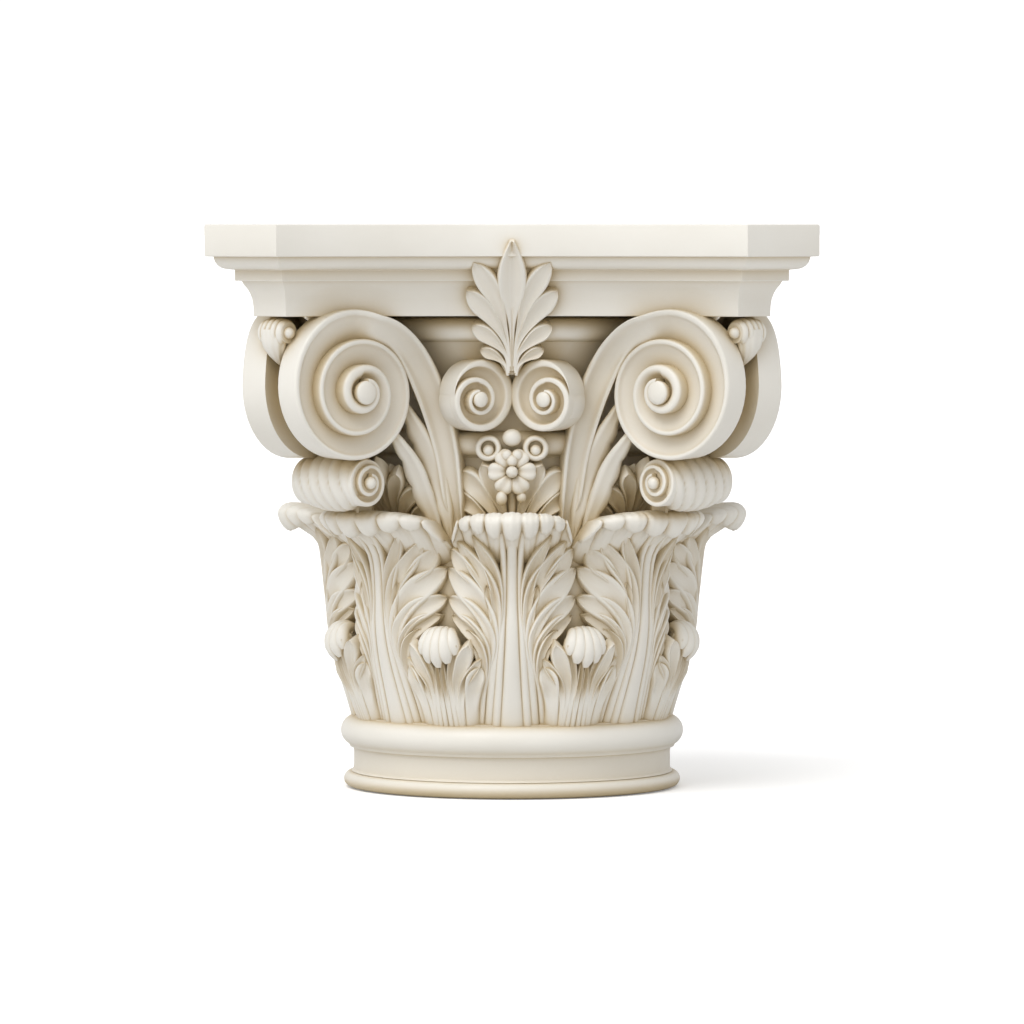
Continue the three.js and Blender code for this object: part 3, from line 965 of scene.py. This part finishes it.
def make_group(name, inputs, outputs):
    group = bpy.data.node_groups.new(name, "ShaderNodeTree")
    for label, kind, value in inputs:
        socket = group.interface.new_socket(name=label, in_out="INPUT", socket_type=kind)
        socket.default_value = value
    for label, kind in outputs:
        group.interface.new_socket(name=label, in_out="OUTPUT", socket_type=kind)
    return group, group.nodes.new("NodeGroupInput"), group.nodes.new("NodeGroupOutput")


def ramp(tree, source, given=(0.0, 1.0), made=(0.0, 1.0)):
    """Turns a value that runs over the range given into one that runs over the range made."""
    node = tree.nodes.new("ShaderNodeMapRange")
    for label, value in zip(("From Min", "From Max", "To Min", "To Max"), (*given, *made)):
        node.inputs[label].default_value = value
    tree.links.new(source, node.inputs["Value"])
    return node.outputs["Result"]


def noise(tree, scale, detail):
    """Noise that stays with the piece."""
    place = tree.nodes.new("ShaderNodeTexCoord")
    node = tree.nodes.new("ShaderNodeTexNoise")
    node.inputs["Scale"].default_value = scale
    node.inputs["Detail"].default_value = detail
    tree.links.new(place.outputs["Object"], node.inputs["Vector"])
    return node.outputs["Fac"]


def mix_colours(tree, share, first, second):
    """Mixes two colours: second, and first where it isn't itself a socket, are plain colours."""
    node = tree.nodes.new("ShaderNodeMix")
    node.data_type = "RGBA"
    if isinstance(first, tuple):
        node.inputs["A"].default_value = first
    else:
        tree.links.new(first, node.inputs["A"])
    node.inputs["B"].default_value = second
    tree.links.new(share, node.inputs["Factor"])
    return node.outputs["Result"]


def make_glaze_and_shade_group():
    """Where tan lies: the glazing that the real piece keeps in its corners and hollows with painted shade
    laid over the same hollows, broken up by slow patches, and painted shade in the deeper recesses.
    """
    group, given, result = make_group(
        "glaze_and_shade_in_hollows",
        [("Reach", "NodeSocketFloat", 0.023), ("Patchiness", "NodeSocketFloat", 0.4)],
        [("Glaze and shade", "NodeSocketFloat"), ("Deep shade", "NodeSocketFloat"), ("Patches", "NodeSocketFloat")],
    )
    nodes, link = group.nodes, group.links.new
    near = nodes.new("ShaderNodeAmbientOcclusion")
    near.samples = 6
    link(given.outputs["Reach"], near.inputs["Distance"])
    far = nodes.new("ShaderNodeAmbientOcclusion")
    far.samples = 5
    far.inputs["Distance"].default_value = 0.05
    patches = ramp(group, noise(group, 9, 5), (0.35, 0.65))
    level = nodes.new("ShaderNodeMath")
    level.operation = "MULTIPLY_ADD"
    link(patches, level.inputs[0])
    link(given.outputs["Patchiness"], level.inputs[1])
    level.inputs[2].default_value = 0.7
    glaze_and_shade = nodes.new("ShaderNodeMath")
    glaze_and_shade.operation = "MULTIPLY"
    glaze_and_shade.use_clamp = True
    # Real glazing and painted shade: the more a point is hemmed in within the reach, the more tan it takes.
    link(ramp(group, near.outputs["AO"], (1.0, 0.26)), glaze_and_shade.inputs[0])
    link(level.outputs["Value"], glaze_and_shade.inputs[1])
    link(glaze_and_shade.outputs["Value"], result.inputs["Glaze and shade"])
    # Painted shade: points hemmed in over 5 cm, in the deeper recesses, darken towards a deeper tan.
    link(ramp(group, far.outputs["AO"], (0.84, 0.0)), result.inputs["Deep shade"])
    link(patches, result.inputs["Patches"])
    return group


def make_plaster():
    """Cream cast plaster with a soft sheen and tan glazing wiped off all but the hollows, with painted shade
    laid in the hollows and in the deeper recesses.
    """
    material = bpy.data.materials.new("plaster")
    material.use_nodes = True
    tree = material.node_tree
    nodes, link = tree.nodes, tree.links.new
    shader = nodes["Principled BSDF"]
    glaze_and_shade = nodes.new("ShaderNodeGroup")
    glaze_and_shade.node_tree = make_glaze_and_shade_group()
    body = mix_colours(tree, glaze_and_shade.outputs["Patches"], CREAM, PALE_CREAM)
    # Tan over the cream where the real piece keeps its glazing in the hollows, and painted shade in the same
    # hollows.
    glazed_and_shaded = mix_colours(tree, glaze_and_shade.outputs["Glaze and shade"], body, TAN_GLAZE_AND_SHADE)
    # Painted shade: a darker tan in the deeper recesses, where shade falls.
    link(mix_colours(tree, glaze_and_shade.outputs["Deep shade"], glazed_and_shaded, DEEP_SHADE_AND_GLAZE), shader.inputs["Base Color"])
    grain = noise(tree, 60, 6)
    link(ramp(tree, grain, (0.3, 0.7), (0.36, 0.5)), shader.inputs["Roughness"])
    bump = nodes.new("ShaderNodeBump")
    bump.inputs["Strength"].default_value = 0.12
    bump.inputs["Distance"].default_value = 0.002
    link(grain, bump.inputs["Height"])
    link(bump.outputs["Normal"], shader.inputs["Normal"])
    shader.inputs["Specular IOR Level"].default_value = 0.45
    return material


# ---------------------------------------------------------------- the pieces

plaster = make_plaster()
build_abacus(plaster)
build_foot(plaster)
build_bell(plaster)
build_corner_scrolls(plaster)
build_helices(plaster)
build_tall_leaves(plaster)
build_small_leaves(plaster)
build_upper_leaves(plaster)
build_rolls(plaster)
build_buds(plaster)
build_palmettes(plaster)
build_flowers(plaster)

# ---------------------------------------------------------------- floor, light and camera


def make_floor():
    mesh = bpy.data.meshes.new("floor")
    bm = bmesh.new()
    bmesh.ops.create_grid(bm, x_segments=1, y_segments=1, size=300)
    bm.to_mesh(mesh)
    bm.free()
    floor = bpy.data.objects.new("floor", mesh)
    floor.location.z = low.z - 0.0002
    bpy.context.collection.objects.link(floor)
    material = bpy.data.materials.new("floor")
    material.use_nodes = True
    shader = material.node_tree.nodes["Principled BSDF"]
    tree = material.node_tree
    # The floor looks pale, and throws less light back up than it seems to.
    seen = tree.nodes.new("ShaderNodeLightPath").outputs["Is Camera Ray"]
    tree.links.new(ramp(tree, seen, made=(0.7, 0.92)), shader.inputs["Base Color"])
    tree.links.new(ramp(tree, seen, made=(0.0, 0.2)), shader.inputs["Emission Strength"])
    shader.inputs["Emission Color"].default_value = (1, 1, 1, 1)
    shader.inputs["Roughness"].default_value = 0.9
    shader.inputs["Specular IOR Level"].default_value = 0.1
    mesh.materials.append(material)


def aim(thing, at):
    thing.rotation_euler = (Vector(at) - thing.location).to_track_quat("-Z", "Y").to_euler()


def sun_light(name, place, strength, spread):
    light = bpy.data.lights.new(name, "SUN")
    light.energy = strength
    light.angle = math.radians(spread)
    lamp = bpy.data.objects.new(name, light)
    lamp.location = place
    aim(lamp, (0, 0, 0))
    bpy.context.collection.objects.link(lamp)


def make_sky():
    """A plain white surround: what lights the piece is dimmer than what the camera sees behind it."""
    world = bpy.data.worlds.new("world")
    world.use_nodes = True
    tree = world.node_tree
    background = tree.nodes["Background"]
    background.inputs["Color"].default_value = (1, 1, 1, 1)
    seen = tree.nodes.new("ShaderNodeLightPath").outputs["Is Camera Ray"]
    tree.links.new(ramp(tree, seen, made=(0.78, 1.1)), background.inputs["Strength"])
    bpy.context.scene.world = world


make_floor()
sun_light("key", (-0.65, -1.0, 1.9), 1.82, 46)
sun_light("fill", (-1.0, -1.1, 0.4), 0.42, 70)
make_sky()
bpy.context.scene.view_settings.view_transform = "Standard"

# The camera stands level with the top of the capital and looks down a little.
CAMERA_FAR = 5.77
CAMERA_PITCH = 2.54
LENS = 228

camera_data = bpy.data.cameras.new("camera")
camera_data.lens = LENS
camera_data.sensor_width = 36
camera = bpy.data.objects.new("camera", camera_data)
camera.location = (0, -CAMERA_FAR, low.z + HEIGHT * MM)
camera.rotation_euler = (math.radians(90 - CAMERA_PITCH), 0, 0)
bpy.context.collection.objects.link(camera)
bpy.context.scene.camera = camera
